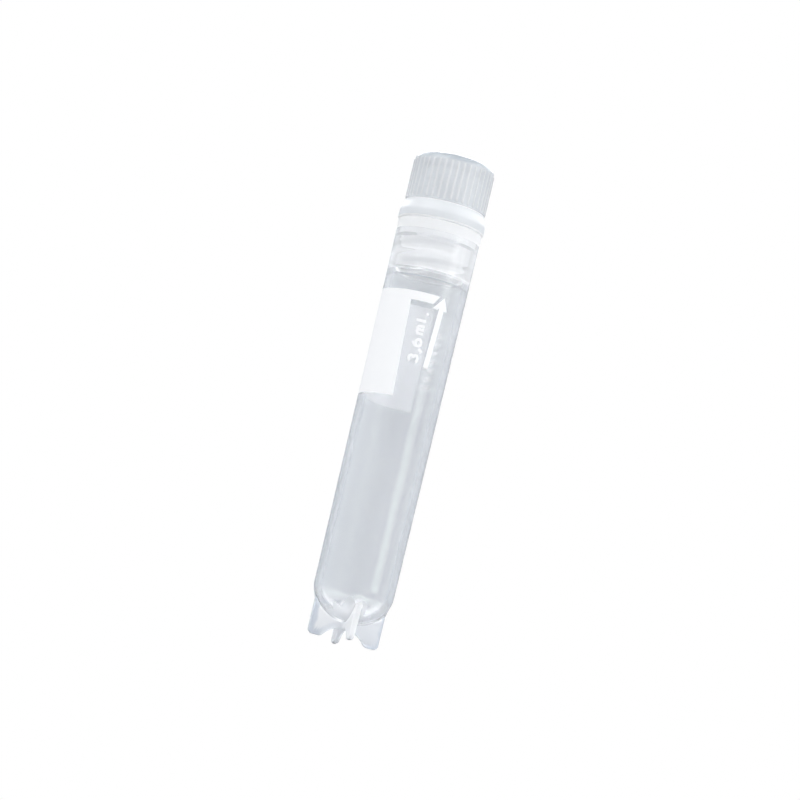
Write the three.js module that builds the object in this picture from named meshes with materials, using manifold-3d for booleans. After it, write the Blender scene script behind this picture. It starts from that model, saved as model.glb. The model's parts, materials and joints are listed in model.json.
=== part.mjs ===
// A 3.6 ml cryogenic vial with an internal thread: a moulded vial on a four-finned star foot,
// a screw cap with a ribbed head and a hollow stem, and the silicone gasket held on the stem.
// Millimetres, +Z up. The origin is on the vial's axis, in the plane of the foot pads.
import * as THREE from "three";
import { ParametricGeometry } from "three/addons/geometries/ParametricGeometry.js";
import { mergeVertices } from "three/addons/utils/BufferGeometryUtils.js";
import Module from "manifold-3d";

const wasm = await Module();
wasm.setup();

// --- Driving dimensions ---------------------------------------------------------------------

const SEGMENTS = 60; // facets round the axis
const CORNER_SEGMENTS = 6; // along each arc of a fin's outline
const OVERCUT = 1; // how far a cutting solid runs past what it cuts
const WELD = 1e-4; // vertices closer than this are one

const VIAL_HEIGHT = 61.9; // foot pads to rim
const NECK_RADIUS = 6.1; // outside, under the rim
const DRAFT_SLOPE = 0.0049; // outside radius lost per millimetre towards the foot
const WALL = 0.95;
const RIM_LIP = 0.06; // the rim stands this far proud of the neck
const RIM_LIP_HEIGHT = 0.6;
const RIM_LIP_SLOPE = 0.9; // height over which the lip fades into the neck
const RIM_CHAMFER = 0.1;

const DOME_TOP = 7.75; // height where the body ends and the round bottom begins
const DOME_DEPTH = 5.0;
const FLOOR = 1.05; // thickness of the round bottom on the axis

const FIN_PAIRS = 2; // each pair is one blade right across the axis
const FIN_INSET = 0.5; // outer edge, inside the body's radius
const FIN_THICKNESS = 1.0; // at the round bottom
const FIN_THICKNESS_AT_PAD = 0.8;
const FIN_CORNER = 0.7;
const FIN_SINK = DOME_DEPTH / 3; // from the blade's top, inside the round bottom, up to where the body begins
const PAD_LENGTH = 2.1; // outer edge to the arch
const ARCH_HEIGHT = 1.8; // of the round arch under the blade

const THREAD_PITCH = 2.7;
const THREAD_DEPTH = 0.37;
const THREAD_ROOT_WIDTH = 1.4;
const THREAD_CREST_WIDTH = 0.8;
const THREAD_SINK = 0.2; // how deep a ridge is rooted in its wall
const THREAD_RUN_OUT = 25; // degrees over which each end of a thread fades out
const THREAD_CLEARANCE = 0.15; // radial, crest to root
const NECK_WALL = 0.9; // round the thread
const NECK_RUN = 1.5; // neck's bore below the thread, before it narrows to the body's
const NECK_CONE = 2; // height of that narrowing for each millimetre of radius
const VIAL_THREAD_LENGTH = 3.5;
const VIAL_THREAD_LEAD = 0.75; // retaining ring down to the upper end of the vial's thread
const VIAL_THREAD_TOP_ANGLE = -60; // degrees from +X
const STEM_THREAD_LEAD = 0.2; // retaining ring down to the upper end of the stem's thread
const STEM_THREAD_RISE = 1.2; // stem's lower end up to the lower end of its thread

const GASKET_HEIGHT = 2.3;
const GASKET_WIDTH = 0.95;
const GASKET_CORNER = 0.3;
const GASKET_GAP = 0.08; // all round the gasket

const CAP_GAP = 0.1; // rim to flange
const FLANGE_OVERHANG = 0.22; // flange beyond the neck
const FLANGE_EDGE = 1.0; // height of the flange's upright edge
const FLANGE_CHAMFER = 0.2;
const FLARE_HEIGHT = 1.8; // slope from the flange up to the head
const HEAD_HEIGHT = 7.2; // above the flare
const HEAD_INSET = 0.25; // head inside the neck's radius
const HEAD_CORNER = 1.05;
const RIB_COUNT = 40;
const RIB_HEIGHT = 0.12;
const RIB_WIDTH_SHARE = 0.5; // of the space from one rib to the next
const RIB_TOP_MARGIN = 1.05; // plain band over the ribs
const RIB_FOOT_MARGIN = 0.25; // plain band under them
const STEM_LENGTH = 7.6; // below the flange
const STEM_CORNER = 0.7;
const STEM_FLOOR = 1.5;
const STEM_WALL = 1.3;
const RETAINER_HEIGHT = 0.5; // the ring that keeps the gasket on the stem
const RETAINER_STEP = 0.3;
const SEAT_RIM = 0.6; // flat ring round the recess in the head
const SEAT_DEPTH = 1.6;

// --- Sizes that follow from them --------------------------------------------------------------

const outsideRadius = (z) => NECK_RADIUS - DRAFT_SLOPE * (VIAL_HEIGHT - z);
const boreRadius = (z) => outsideRadius(z) - WALL;

const FIN_RADIUS = outsideRadius(DOME_TOP) - FIN_INSET;
const PAD_INNER_RADIUS = FIN_RADIUS - PAD_LENGTH;

const FLANGE_Z = VIAL_HEIGHT + CAP_GAP;
const HEAD_Z = FLANGE_Z + FLANGE_EDGE + FLARE_HEIGHT;
const HEAD_RADIUS = NECK_RADIUS - HEAD_INSET;
const CAP_TOP = HEAD_Z + HEAD_HEIGHT;
const SEAT_RADIUS = HEAD_RADIUS - HEAD_CORNER - SEAT_RIM;
const STEM_BOTTOM = FLANGE_Z - STEM_LENGTH;

const NECK_BORE = NECK_RADIUS - NECK_WALL; // root of the vial's thread
const STEM_RADIUS = NECK_BORE - THREAD_CLEARANCE - THREAD_DEPTH; // root of the stem's thread
const CORE_RADIUS = STEM_RADIUS - STEM_WALL;

const GASKET_TOP = FLANGE_Z - GASKET_GAP;
const GASKET_BOTTOM = GASKET_TOP - GASKET_HEIGHT;
const GASKET_INNER = STEM_RADIUS - GASKET_GAP;
const GASKET_OUTER = GASKET_INNER + GASKET_WIDTH;
const STEM_NECK_RADIUS = GASKET_INNER - GASKET_GAP;
const COUNTERBORE_RADIUS = GASKET_OUTER + GASKET_GAP;
const COUNTERBORE_Z = GASKET_BOTTOM - GASKET_GAP;

const RETAINER_BOTTOM = COUNTERBORE_Z - RETAINER_HEIGHT;

const VIAL_THREAD_TOP = RETAINER_BOTTOM - VIAL_THREAD_LEAD;
const VIAL_THREAD_BOTTOM = VIAL_THREAD_TOP - VIAL_THREAD_LENGTH;
const STEM_THREAD_TOP = RETAINER_BOTTOM - STEM_THREAD_LEAD;
const STEM_THREAD_BOTTOM = STEM_BOTTOM + STEM_THREAD_RISE;
// The angle at which each thread's middle line is at a given height. The stem's runs half a pitch below
// the vial's, so that each lies in the other's groove.
const vialThreadAngle = (z) =>
  VIAL_THREAD_TOP_ANGLE + ((z - VIAL_THREAD_TOP) / THREAD_PITCH) * 360;
const stemThreadAngle = (z) => vialThreadAngle(z) + 180;

// --- Materials ----------------------------------------------------------------------------------

const vialPolypropylene = new THREE.MeshStandardMaterial({
  color: 0xdfe5ea,
  roughness: 0.35,
  metalness: 0,
});
const capPolypropylene = new THREE.MeshStandardMaterial({
  color: 0xe4e8ea,
  roughness: 0.4,
  metalness: 0,
});
const silicone = new THREE.MeshStandardMaterial({
  color: 0xeff1ef,
  roughness: 0.55,
  metalness: 0,
});

// --- Solids -------------------------------------------------------------------------------------

// A geometry as a solid: vertices welded, and triangles that collapsed at a pole or a point dropped.
function solid(geometry) {
  geometry.deleteAttribute("normal");
  geometry.deleteAttribute("uv");
  const welded = mergeVertices(geometry, WELD);
  const index = welded.index.array;
  const kept = [];
  for (let i = 0; i < index.length; i += 3) {
    const [a, b, c] = [index[i], index[i + 1], index[i + 2]];
    if (a !== b && b !== c && c !== a) kept.push(a, b, c);
  }
  return new wasm.Manifold(
    new wasm.Mesh({
      numProp: 3,
      vertProperties: welded.attributes.position.array,
      triVerts: new Uint32Array(kept),
    }),
  );
}

function meshOf(name, made, material) {
  const { vertProperties, triVerts } = made.getMesh();
  const geometry = new THREE.BufferGeometry();
  geometry.setAttribute("position", new THREE.BufferAttribute(vertProperties, 3));
  geometry.setIndex(new THREE.BufferAttribute(triVerts, 1));
  geometry.computeVertexNormals();
  const mesh = new THREE.Mesh(geometry, material);
  mesh.name = name;
  return mesh;
}

// A solid of revolution from a profile of [radius, height] points, in the order that runs up the outside.
function turned(profile) {
  const points = profile.map(([radius, height]) => new THREE.Vector2(radius, height));
  return solid(new THREE.LatheGeometry(points, SEGMENTS).rotateX(Math.PI / 2));
}

// Points of an elliptical arc about [r, z], from one angle to another in degrees, both ends included.
function arc(r, z, a, b, from, to, steps) {
  return Array.from({ length: steps + 1 }, (_, i) => {
    const angle = THREE.MathUtils.degToRad(from + ((to - from) * i) / steps);
    return [r + a * Math.cos(angle), z + b * Math.sin(angle)];
  });
}

// One helical ridge of trapezoid section that fades out at both ends. It grows from rootRadius towards
// crestRadius, and is sunk a little into the wall that it stands on.
function threadRidge({ bottomZ, topZ, bottomAngle, rootRadius, crestRadius }) {
  const turns = (topZ - bottomZ) / THREAD_PITCH;
  const growsOutwards = crestRadius > rootRadius;
  const sunk = growsOutwards ? -THREAD_SINK : THREAD_SINK;
  const runOut = THREAD_RUN_OUT / 360;
  const corners = [
    { side: -1, radius: rootRadius + sunk, width: THREAD_ROOT_WIDTH },
    { side: -1, radius: crestRadius, width: THREAD_CREST_WIDTH },
    { side: 1, radius: crestRadius, width: THREAD_CREST_WIDTH },
    { side: 1, radius: rootRadius + sunk, width: THREAD_ROOT_WIDTH },
  ];
  const section = growsOutwards ? corners : corners.toReversed();
  const point = (u, v, target) => {
    const corner = section[Math.round(v * section.length) % section.length];
    const turn = u * turns;
    const fade = Math.min(1, turn / runOut, (turns - turn) / runOut);
    const radius = rootRadius + (corner.radius - rootRadius) * fade;
    const angle = THREE.MathUtils.degToRad(bottomAngle) + turn * 2 * Math.PI;
    target.set(
      radius * Math.cos(angle),
      radius * Math.sin(angle),
      bottomZ + turn * THREAD_PITCH + (corner.side * corner.width * fade) / 2,
    );
  };
  return solid(new ParametricGeometry(point, Math.round(turns * SEGMENTS), section.length));
}

// A flat outline as a plate of the given thickness, standing upright and centred on the plane Y = 0.
function uprightPlate(outline, thickness) {
  const plate = new THREE.ExtrudeGeometry(outline, {
    depth: thickness,
    bevelEnabled: false,
    curveSegments: CORNER_SEGMENTS,
  });
  return plate.translate(0, 0, -thickness / 2).rotateX(Math.PI / 2);
}

// One blade of the star foot, right across the axis: a pad at each end, an arch between them, and sides
// that draw together towards the pads.
function finBlade(angle) {
  const top = DOME_TOP - FIN_SINK;
  const archRadius = (ARCH_HEIGHT ** 2 + PAD_INNER_RADIUS ** 2) / (2 * ARCH_HEIGHT);
  const archHalfAngle = Math.asin(PAD_INNER_RADIUS / archRadius);
  const side = new THREE.Shape();
  side.moveTo(-FIN_RADIUS, top);
  side.lineTo(-FIN_RADIUS, FIN_CORNER);
  side.absarc(FIN_CORNER - FIN_RADIUS, FIN_CORNER, FIN_CORNER, Math.PI, 1.5 * Math.PI);
  side.absarc(
    0,
    ARCH_HEIGHT - archRadius,
    archRadius,
    Math.PI / 2 + archHalfAngle,
    Math.PI / 2 - archHalfAngle,
    true,
  );
  side.absarc(FIN_RADIUS - FIN_CORNER, FIN_CORNER, FIN_CORNER, 1.5 * Math.PI, 2 * Math.PI);
  side.lineTo(FIN_RADIUS, top);
  side.closePath();
  const end = new THREE.Shape();
  end.moveTo(-FIN_THICKNESS_AT_PAD / 2, 0);
  end.lineTo(FIN_THICKNESS_AT_PAD / 2, 0);
  end.lineTo(FIN_THICKNESS / 2, top);
  end.lineTo(-FIN_THICKNESS / 2, top);
  end.closePath();
  const blade = solid(uprightPlate(side, FIN_THICKNESS).rotateZ(angle));
  const taper = solid(uprightPlate(end, 2 * FIN_RADIUS + OVERCUT).rotateZ(angle + Math.PI / 2));
  return blade.intersect(taper);
}

function vialSolid() {
  const lipRadius = NECK_RADIUS + RIM_LIP;
  const lipZ = VIAL_HEIGHT - RIM_LIP_HEIGHT;
  const lipFootZ = lipZ - RIM_LIP_SLOPE;
  const neckZ = VIAL_THREAD_BOTTOM - NECK_RUN;
  const outside = turned([
    ...arc(0, DOME_TOP, outsideRadius(DOME_TOP), DOME_DEPTH, -90, 0, 10),
    [outsideRadius(lipFootZ), lipFootZ],
    [lipRadius, lipZ],
    [lipRadius, VIAL_HEIGHT - RIM_CHAMFER],
    [lipRadius - RIM_CHAMFER, VIAL_HEIGHT],
    [0, VIAL_HEIGHT],
  ]);
  const cavity = turned([
    ...arc(0, DOME_TOP, boreRadius(DOME_TOP), DOME_DEPTH - FLOOR, -90, 0, 10),
    [boreRadius(neckZ), neckZ],
    [NECK_BORE, neckZ + NECK_CONE * (NECK_BORE - boreRadius(neckZ))],
    [NECK_BORE, COUNTERBORE_Z - (COUNTERBORE_RADIUS - NECK_BORE)],
    [COUNTERBORE_RADIUS, COUNTERBORE_Z],
    [COUNTERBORE_RADIUS, VIAL_HEIGHT + OVERCUT],
    [0, VIAL_HEIGHT + OVERCUT],
  ]);
  const thread = threadRidge({
    bottomZ: VIAL_THREAD_BOTTOM,
    topZ: VIAL_THREAD_TOP,
    bottomAngle: vialThreadAngle(VIAL_THREAD_BOTTOM),
    rootRadius: NECK_BORE,
    crestRadius: NECK_BORE - THREAD_DEPTH,
  });
  let body = outside;
  for (let i = 0; i < FIN_PAIRS; i++) {
    body = body.add(finBlade((i * Math.PI) / FIN_PAIRS));
  }
  return body.subtract(cavity).add(thread);
}

// The ribs round the head, as one ring with a crenellated outline.
function ribRing() {
  const step = (2 * Math.PI) / RIB_COUNT;
  const foot = HEAD_RADIUS - 2 * RIB_HEIGHT;
  const crest = HEAD_RADIUS + RIB_HEIGHT;
  const across = [
    [-RIB_WIDTH_SHARE / 2, foot],
    [-RIB_WIDTH_SHARE / 4, crest],
    [RIB_WIDTH_SHARE / 4, crest],
    [RIB_WIDTH_SHARE / 2, foot],
  ];
  const outline = Array.from({ length: RIB_COUNT }, (_, i) =>
    across.map(([share, radius]) => {
      const angle = (i + share) * step;
      return new THREE.Vector2(radius * Math.cos(angle), radius * Math.sin(angle));
    }),
  );
  const ring = new THREE.Shape(outline.flat());
  ring.holes.push(new THREE.Path().absarc(0, 0, foot - RIB_HEIGHT, 0, 2 * Math.PI, true));
  const low = HEAD_Z + RIB_FOOT_MARGIN;
  const geometry = new THREE.ExtrudeGeometry(ring, {
    depth: CAP_TOP - RIB_TOP_MARGIN - low,
    bevelEnabled: false,
    curveSegments: SEGMENTS / 2,
  });
  return solid(geometry.translate(0, 0, low));
}

function capSolid() {
  const flangeRadius = NECK_RADIUS + FLANGE_OVERHANG;
  const flareZ = FLANGE_Z + FLANGE_EDGE;
  const flare = [0.25, 0.5, 0.75].map((t) => [
    flangeRadius + ((HEAD_RADIUS - flangeRadius) * (1 - Math.cos(t * Math.PI))) / 2,
    flareZ + FLARE_HEIGHT * t,
  ]);
  const retainerRadius = STEM_RADIUS + RETAINER_STEP;
  const blank = turned([
    [0, STEM_BOTTOM],
    ...arc(STEM_RADIUS - STEM_CORNER, STEM_BOTTOM + STEM_CORNER, STEM_CORNER, STEM_CORNER, -90, 0, 4),
    [STEM_RADIUS, RETAINER_BOTTOM - RETAINER_STEP / 2],
    [retainerRadius, RETAINER_BOTTOM],
    [retainerRadius, COUNTERBORE_Z],
    [STEM_NECK_RADIUS, COUNTERBORE_Z],
    [STEM_NECK_RADIUS, FLANGE_Z],
    [flangeRadius - FLANGE_CHAMFER, FLANGE_Z],
    [flangeRadius, FLANGE_Z + FLANGE_CHAMFER],
    [flangeRadius, flareZ],
    ...flare,
    [HEAD_RADIUS, HEAD_Z],
    ...arc(HEAD_RADIUS - HEAD_CORNER, CAP_TOP - HEAD_CORNER, HEAD_CORNER, HEAD_CORNER, 0, 90, 4),
    [0, CAP_TOP],
  ]);
  const core = turned([
    [0, STEM_BOTTOM + STEM_FLOOR],
    [CORE_RADIUS, STEM_BOTTOM + STEM_FLOOR],
    [CORE_RADIUS, CAP_TOP - SEAT_DEPTH],
    [SEAT_RADIUS, CAP_TOP - SEAT_DEPTH],
    [SEAT_RADIUS, CAP_TOP + OVERCUT],
    [0, CAP_TOP + OVERCUT],
  ]);
  const thread = threadRidge({
    bottomZ: STEM_THREAD_BOTTOM,
    topZ: STEM_THREAD_TOP,
    bottomAngle: stemThreadAngle(STEM_THREAD_BOTTOM),
    rootRadius: STEM_RADIUS,
    crestRadius: STEM_RADIUS + THREAD_DEPTH,
  });
  return blank.add(ribRing()).add(thread).subtract(core);
}

function gasketSolid() {
  const low = GASKET_BOTTOM + GASKET_CORNER;
  const high = GASKET_TOP - GASKET_CORNER;
  const inner = GASKET_INNER + GASKET_CORNER;
  const outer = GASKET_OUTER - GASKET_CORNER;
  const corner = (r, z, from) => arc(r, z, GASKET_CORNER, GASKET_CORNER, from, from + 90, 3);
  const section = [
    ...corner(outer, low, -90),
    ...corner(outer, high, 0),
    ...corner(inner, high, 90),
    ...corner(inner, low, 180),
  ];
  return turned([...section, section[0]]);
}

const cryovial = new THREE.Group();
cryovial.add(meshOf("vial_tube", vialSolid(), vialPolypropylene));
cryovial.add(meshOf("screw_cap", capSolid(), capPolypropylene));
cryovial.add(meshOf("gasket", gasketSolid(), silicone));

export default cryovial;
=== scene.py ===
"""A 3.6 ml cryogenic vial in moulded plastic: the round-bottomed tube on its star foot, the screw cap with
its hollow stem, the sealing ring, the white print, and the stage that they are shown on.
Lengths are in metres, +Z is up, and the origin is on the vial's axis in the plane of the foot pads."""

import json
import math
from functools import partial

import bpy
import numpy as np
from bpy.props import FloatProperty, FloatVectorProperty, IntProperty, PointerProperty
from mathutils import Matrix, Vector


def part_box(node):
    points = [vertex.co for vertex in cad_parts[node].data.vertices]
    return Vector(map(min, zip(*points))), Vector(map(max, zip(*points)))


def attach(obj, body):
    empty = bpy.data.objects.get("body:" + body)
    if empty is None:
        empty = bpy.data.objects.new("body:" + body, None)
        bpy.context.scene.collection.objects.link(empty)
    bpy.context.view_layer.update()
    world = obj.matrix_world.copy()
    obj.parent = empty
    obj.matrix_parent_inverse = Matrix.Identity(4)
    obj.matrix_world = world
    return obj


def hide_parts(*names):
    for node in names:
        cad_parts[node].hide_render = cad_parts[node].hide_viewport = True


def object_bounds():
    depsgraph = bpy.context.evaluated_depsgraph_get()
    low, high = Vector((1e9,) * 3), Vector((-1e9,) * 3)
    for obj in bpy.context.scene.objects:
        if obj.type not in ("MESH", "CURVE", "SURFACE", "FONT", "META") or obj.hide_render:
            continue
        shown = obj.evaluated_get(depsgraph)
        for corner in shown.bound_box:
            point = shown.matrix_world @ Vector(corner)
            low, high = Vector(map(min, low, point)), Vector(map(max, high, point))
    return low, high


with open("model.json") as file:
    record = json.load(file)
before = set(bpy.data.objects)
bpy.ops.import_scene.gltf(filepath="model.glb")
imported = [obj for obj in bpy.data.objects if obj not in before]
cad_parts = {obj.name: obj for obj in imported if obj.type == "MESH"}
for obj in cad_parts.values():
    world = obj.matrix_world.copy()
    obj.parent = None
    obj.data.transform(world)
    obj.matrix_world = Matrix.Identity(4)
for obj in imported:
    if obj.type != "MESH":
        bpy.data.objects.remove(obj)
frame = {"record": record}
CAD_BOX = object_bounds()

bl_info = {
    "name": "Cryogenic Vial",
    "version": (1, 0, 0),
    "blender": (4, 5, 0),
    "location": "3D View > Sidebar > Cryovial",
    "description": "Builds a screw-capped cryogenic vial, its print and the stage that it is shown on",
    "category": "Add Mesh",
}

MM = 0.001
MICRON = 1e-6
PLAIN = (1, 1, 1)
MIDDLE = (CAD_BOX[0] + CAD_BOX[1]) / 2

TUBE_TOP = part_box("vial_tube")[1]
CAP_LOW, CAP_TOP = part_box("screw_cap")
RING_LOW, RING_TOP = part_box("gasket")
SCREW = frame["record"]["behaviour"]["couplings"][0]["ratio"]  # radians of turn for each metre of rise
SEAL_GAP = 0.08 * MM  # all round the sealing ring
SEAL_WIDTH = 0.95 * MM  # the sealing ring, inside to outside
STEM_GROOVE = RING_TOP.x - SEAL_WIDTH - SEAL_GAP
RIM_GAP = 0.1 * MM  # between the tube's rim and the cap's flange
FILM_STEP = 2 * MICRON  # from one film of ink to another that crosses it

CLEAR, MILKY, NECK, STREAKS = range(4)  # the finishes of the tube, in the order of its materials
HEAD, STEM = range(2)  # those of the cap


# --- Sizes and colours --------------------------------------------------------


def height(name, description, metres, **limits):
    """A property that holds a height, which may be under the foot pads' plane."""
    return FloatProperty(
        name=name, description=description, default=metres, precision=5, unit="LENGTH", **limits
    )


def length(name, description, metres):
    """A property that holds a length."""
    return height(name, description, metres, min=0)


def angle(name, description, degrees):
    """A property that holds an angle."""
    return FloatProperty(name=name, description=description, default=math.radians(degrees), unit="ROTATION")


def share(name, description, value):
    """A property that holds a share from 0 to 1."""
    return FloatProperty(name=name, description=description, default=value, min=0, max=1, subtype="FACTOR")


def colour(name, description, *rgb):
    """A property that holds a linear colour."""
    return FloatVectorProperty(
        name=name, description=description, default=rgb, size=3, min=0, max=1, subtype="COLOR"
    )


class ThreadSizes(bpy.types.PropertyGroup):
    """The screw thread that the tube's neck and the cap's stem share."""

    pitch: length("Pitch", "Rise in one turn", 2 * math.pi / SCREW)
    depth: length("Depth", "Root to crest", 0.37 * MM)
    root_width: length("Root width", "Width of the ridge at its wall", 2.4 * MM)
    crest_width: length("Crest width", "Width of the ridge at its top", 0.3 * MM)
    run_out: angle("Run-out", "Turn over which each end fades out", 30)
    tube_top: height("Tube's upper end", "Middle of the tube's ridge at its upper end", 58.29 * MM)
    tube_bottom: height("Tube's lower end", "Middle of the tube's ridge at its lower end", 54.79 * MM)
    stem_top: height("Stem's upper end", "Middle of the stem's ridge at its upper end", 58.84 * MM)
    stem_bottom: height("Stem's lower end", "Middle of the stem's ridge at its lower end", 55.6 * MM)
    tube_angle: angle("Tube's start", "Where the tube's ridge is at its upper end, from +X", -60)


class TubeSizes(bpy.types.PropertyGroup):
    """The moulded tube: round bottom, star foot, drafted wall and neck."""

    rim: height("Rim", "Top of the tube", TUBE_TOP.z)
    lip: length("Lip", "The rim stands this far proud of the neck", 0.06 * MM)
    lip_height: length("Lip height", "Upright part of the lip", 0.6 * MM)
    lip_slope: length("Lip slope", "Height over which the lip fades into the neck", 0.9 * MM)
    draft: share("Draft", "Outside radius lost in each metre towards the foot", 0.0049)
    wall: length("Wall", "Thickness of the body", 0.95 * MM)
    shoulder: height("Shoulder", "Where the wall ends and the round bottom begins", 7.75 * MM)
    dome_depth: length("Dome depth", "Round bottom, outside", 5.0 * MM)
    floor: length("Floor", "Thickness of the round bottom on the axis", 1.05 * MM)
    fin_inset: length("Fin inset", "Outer edge of a fin, inside the body's radius", 0.5 * MM)
    fin_thickness: length("Fin thickness", "At the round bottom", 1.0 * MM)
    fin_foot: length("Fin thickness at the pad", "At the very foot", 0.8 * MM)
    fin_height: height("Fin height", "Top of a fin, inside the round bottom", 6.08 * MM)
    fin_corner: length("Fin corner", "Rounding of a fin's outer lower corner", 0.7 * MM)
    fin_edge: length("Fin edge", "Rounding of a fin's long edges", 0.36 * MM)
    # Width of the band of painted shade along a blade's outline
    painted_fin_band: length("Fin band", "Width of the darker band along a fin's outline", 0.95 * MM)
    streaks_low: height("Streaks, low", "The round bottom is milky up to here", 3.8 * MM)
    streaks: length("Streaks", "Height that the milky streaks reach over that", 2.2 * MM)
    fillet: length("Fillet", "Rounding where a fin meets the round bottom", 0.5 * MM)
    pad: length("Pad", "Length of a foot pad, outer edge to arch", 2.1 * MM)
    arch: length("Arch", "Height of the arch under a blade", 1.8 * MM)
    neck_wall: length("Neck wall", "Thickness round the thread", 0.9 * MM)
    neck_bottom: height("Neck bottom", "Where the neck's wider bore ends", 53.29 * MM)
    cone: length("Neck cone", "Height over which the neck's bore narrows to the body's", 0.18 * MM)
    neck_streaks: length("Neck streaks", "Height of the streaks under the milky neck", 0.3 * MM)
    # Painted light: the rim's top edge is painted white, a highlight on the seam under the flange
    painted_rim_light: length("Rim edge", "Height of the white edge at the rim", 0.14 * MM)
    seat_radius: length("Seat radius", "Bore round the sealing ring", RING_TOP.x + SEAL_GAP)
    seat_bottom: height("Seat bottom", "Ledge under the sealing ring", RING_LOW.z - SEAL_GAP)


class CapSizes(bpy.types.PropertyGroup):
    """The screw cap: ribbed head, flange and hollow stem."""

    top: height("Top", "Top of the head", CAP_TOP.z)
    flange_radius: length("Flange radius", "Widest part of the cap", CAP_TOP.x)
    flange_bottom: height("Flange bottom", "Underside of the flange", TUBE_TOP.z + RIM_GAP)
    flange_edge: length("Flange edge", "Height of the flange's upright edge", 1.0 * MM)
    flange_rounding: length("Flange rounding", "Lower edge of the flange", 0.2 * MM)
    flare: length("Flare", "Height of the slope from the flange to the head", 1.8 * MM)
    head_radius: length("Head radius", "Radius between the ribs", 5.85 * MM)
    head_corner: length("Head corner", "Rounding of the top edge", 1.05 * MM)
    ribs: IntProperty(name="Ribs", description="Grip ribs round the head", default=40, min=3)
    rib: length("Rib", "How far a rib stands out", 0.12 * MM)
    rib_foot_share: share("Rib foot share", "Width of a rib at its foot, of the space between ribs", 0.52)
    rib_crest_share: share("Rib crest share", "Width of a rib's crest, of the space between ribs", 0.16)
    rib_top_margin: length("Rib top margin", "Plain band over the ribs", 1.05 * MM)
    rib_foot_margin: length("Rib foot margin", "Plain band under the ribs", 0.25 * MM)
    rib_end: length("Rib end", "Length over which a rib's end fades out", 0.35 * MM)
    stem_bottom: height("Stem bottom", "Lower end of the stem", CAP_LOW.z)
    stem_radius: length("Stem radius", "Root of the stem's thread", 4.68 * MM)
    stem_corner: length("Stem corner", "Rounding of the stem's lower edge", 0.7 * MM)
    stem_floor: length("Stem floor", "Thickness of the stem's closed end", 1.5 * MM)
    stem_wall: length("Stem wall", "Thickness of the stem", 1.3 * MM)
    groove_radius: length("Groove radius", "Stem inside the sealing ring", STEM_GROOVE)
    retainer_step: length("Retainer step", "The ring under the seal stands this far out", 0.3 * MM)
    retainer: length("Retainer", "Height of that ring", 0.5 * MM)
    retainer_top: height("Retainer top", "Upper side of that ring", RING_LOW.z - SEAL_GAP)
    recess_radius: length("Recess radius", "Recess for a marker in the head", 4.2 * MM)
    recess: length("Recess", "Depth of that recess", 1.6 * MM)
    hub: length("Hub", "First and last ring of points, round the axis", 0.4 * MM)


class SealSizes(bpy.types.PropertyGroup):
    """The silicone sealing ring."""

    outer: length("Outer radius", "Outside of the ring", RING_TOP.x)
    width: length("Width", "Inside to outside", SEAL_WIDTH)
    bottom: height("Bottom", "Underside", RING_LOW.z)
    top: height("Top", "Upper side", RING_TOP.z)
    corner: length("Corner", "Rounding of the edges", 0.3 * MM)


class PrintSizes(bpy.types.PropertyGroup):
    """The white ink on the tube."""

    ink: length("Ink", "How far the ink stands off the wall", 0.02 * MM)
    bottom: height("Field bottom", "Lower edge of the writing field", 35.4 * MM)
    top: height("Field top", "Upper edge of the writing field and of the fill line", 51.0 * MM)
    field_start: angle("Field start", "Far end of the writing field, from +X", -305.5)
    field_end_low: angle("Field end, low", "Near end at its lower edge, from +X", -114.3)
    field_end_high: angle("Field end, high", "Near end at its upper edge, from +X", -120.2)
    line: length("Fill line", "Width of the fill line", 1.33 * MM)
    line_end: angle("Fill line end", "Where the fill line ends, from +X", -81.5)
    arrow: angle("Arrow", "Where the arrow points up to the fill line, from +X", -74.3)
    arrow_lean: angle("Arrow lean", "The shaft's foot is this far round from its head", -4.2)
    arrow_foot: height("Arrow foot", "Lower end of the arrow", 40.3 * MM)
    shaft: length("Shaft", "Width of the arrow's shaft", 0.85 * MM)
    barb: length("Barb", "Half the width of the arrow's head", 1.5 * MM)
    barb_height: length("Barb height", "Height of the arrow's head", 1.9 * MM)
    mark: angle("Volume mark", "Baseline of the volume mark, from +X", -92.5)
    mark_foot: height("Volume mark foot", "Where the volume mark starts", 40.85 * MM)
    letter: length("Letter height", "Height of a figure, between the middles of its strokes", 1.3 * MM)
    stroke: length("Stroke", "Width of the figures' strokes", 0.42 * MM)
    scale: angle("Scale", "Middle of the graduations on the back, from +X", 36.5)
    scale_foot: height("Scale foot", "Lowest graduation", 39.2 * MM)
    scale_step: length("Scale step", "From one graduation to the next", 1.3 * MM)
    graduations: IntProperty(name="Graduations", description="Marks on the back", default=7, min=1)
    long_mark: length("Long mark", "Length of every third graduation", 2.2 * MM)
    short_mark: length("Short mark", "Length of the others", 1.5 * MM)
    mark_width: length("Mark width", "Width of a graduation", 0.56 * MM)


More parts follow.
